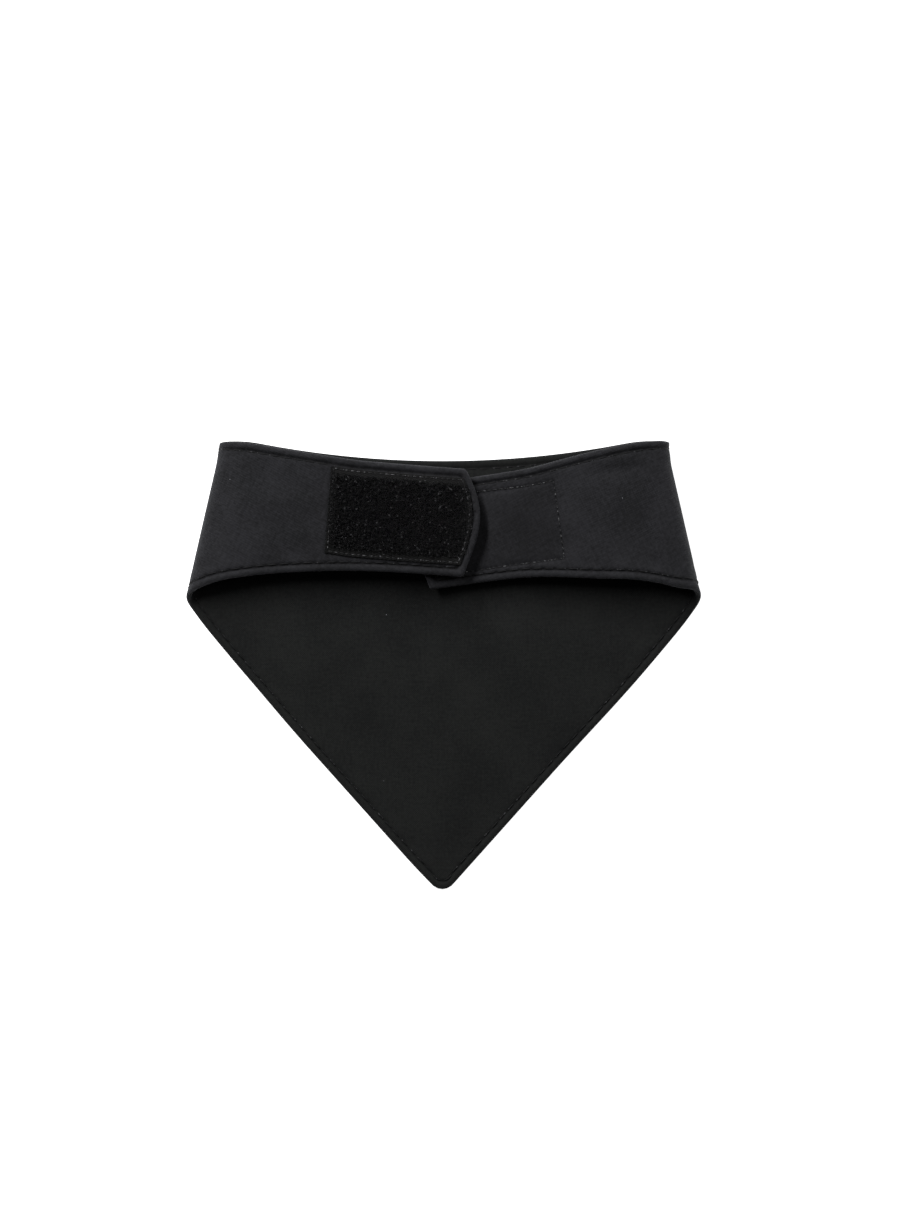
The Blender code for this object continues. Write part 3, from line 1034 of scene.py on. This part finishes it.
def build_materials():
    """Every finish of the bandana, by what it is on."""
    return {
        # Dyed poplin: a charcoal black with a soft bloom where it catches the light.
        "outer": woven_cloth("black_poplin", "#151517", "#252528", CLOTH_THREADS, 0.35, 0.10),
        # Light lining of the same weave: flatter; its deeper black is painted shade, as the lining lies
        # lower.
        "lining": woven_cloth("black_lining", "#0e0f0f", "#191a19", CLOTH_THREADS, 0.30, 0.08),
        # Woven nylon tape: dense and nearly black, with coarse threads that show at its borders.
        "tape": woven_cloth("woven_nylon_tape", "#0b0b0b", "#131313", TAPE_THREADS, 0.60, 0.06),
        # Spun polyester thread: dull, with a rare painted glint.
        "thread": filament("black_polyester_thread", "#080808", "#3a3a3c", 0.65, 0.2, 0.08),
        # Filament thread: shinier, and with more painted glints, so the boxes show as broken pale dots.
        "box_thread": filament("bright_polyester_thread", "#0c0c0d", "#525254", 0.50, 0.3, 0.18),
        # Brushed nylon loops: they swallow the light but for single painted glints.
        "pile": filament("brushed_nylon_loops", "#050505", "#5a5a5c", 0.40, 0.22, 0.03),
        # Moulded nylon hooks: smooth and half glossy.
        "hooks": filament("moulded_nylon_hooks", "#0f0f10", "#5a5a5c", 0.40, 0.4, 0.0),
    }


def studio():
    """A glowing white floor, two soft strip lights from above the view, an even sky and the camera."""
    bpy.ops.mesh.primitive_plane_add(size=FLOOR_SIZE, location=(0.0, 0.0, 0.0))
    floor = bpy.context.object
    floor.name = "floor"
    material, _, _ = start_material("white_light_table", {
        "Base Color": linear("#f3f3f2"), "Roughness": 0.9, "Specular IOR Level": 0.1,
        "Emission Color": linear("#ffffff"), "Emission Strength": FLOOR_GLOW,
    })
    floor.data.materials.append(material)

    world = bpy.data.worlds.new("studio")
    bpy.context.scene.world = world
    world.use_nodes = True
    world.node_tree.nodes["Background"].inputs["Color"].default_value = linear("#ffffff")
    world.node_tree.nodes["Background"].inputs["Strength"].default_value = SKY

    for lamp in LAMPS:
        data = bpy.data.lights.new(lamp.name, "AREA")
        data.shape = "RECTANGLE"
        data.size, data.size_y = lamp.size
        data.energy = lamp.watts
        light = bpy.data.objects.new(lamp.name, data)
        light.location = lamp.place
        aim = -np.array(lamp.place) / np.linalg.norm(lamp.place)
        light.rotation_euler = (math.asin(aim[1]), math.atan2(-aim[0], -aim[2]), 0.0)
        bpy.context.scene.collection.objects.link(light)

    data = bpy.data.cameras.new("camera")
    data.sensor_fit, data.sensor_height, data.lens = "VERTICAL", CAMERA_SENSOR, CAMERA_LENS
    camera = bpy.data.objects.new("camera", data)
    camera.location = CAMERA_PLACE
    bpy.context.scene.collection.objects.link(camera)
    bpy.context.scene.camera = camera
    bpy.context.scene.view_settings.view_transform = "Standard"


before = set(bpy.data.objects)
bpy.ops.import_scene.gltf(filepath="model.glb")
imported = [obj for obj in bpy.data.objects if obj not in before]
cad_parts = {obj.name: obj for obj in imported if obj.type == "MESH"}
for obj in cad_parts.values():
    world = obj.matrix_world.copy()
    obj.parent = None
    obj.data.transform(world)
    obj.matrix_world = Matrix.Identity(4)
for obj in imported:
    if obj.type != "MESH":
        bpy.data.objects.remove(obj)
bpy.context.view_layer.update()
NECK_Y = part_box("outer_panel")[0].y + PANEL_DEPTH
HOLES = {side: needle_holes(side) for side in TAPES}

finish = build_materials()
studio()

outer = cloth_piece("outer_cloth", 1, finish["outer"])
lining = cloth_piece("lining_cloth", -1, finish["lining"])
loop_tape = tape_piece("loop_tape", LOOP_TAPE, finish["tape"])
hook_tape = tape_piece("hook_tape", HOOK_TAPE, finish["tape"])
pile = loop_pile(finish["pile"])
hooks = hook_field(finish["hooks"])
outer_thread = topstitching("outer_topstitching", 1, finish["thread"])
lining_thread = topstitching("lining_topstitching", -1, finish["thread"])
loop_thread = box_stitching("loop_tape_stitching", LOOP_TAPE, finish["box_thread"])
hook_thread = box_stitching("hook_tape_stitching", HOOK_TAPE, finish["box_thread"])

for piece, slot, node in (
    (outer, "outer_cloth", "outer_panel"),
    (lining, "lining_cloth", "inner_panel"),
    (loop_tape, "loop_tape", "loop_patch"),
    (hook_tape, "hook_tape", "hook_patch"),
    (pile, "loop_tape", None),
    (hooks, "hook_tape", None),
    (outer_thread, "outer_cloth", None),
    (lining_thread, "lining_cloth", None),
    (loop_thread, "loop_tape", None),
    (hook_thread, "hook_tape", None),
):
    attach(piece, "root")
    if node:
        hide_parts(node)
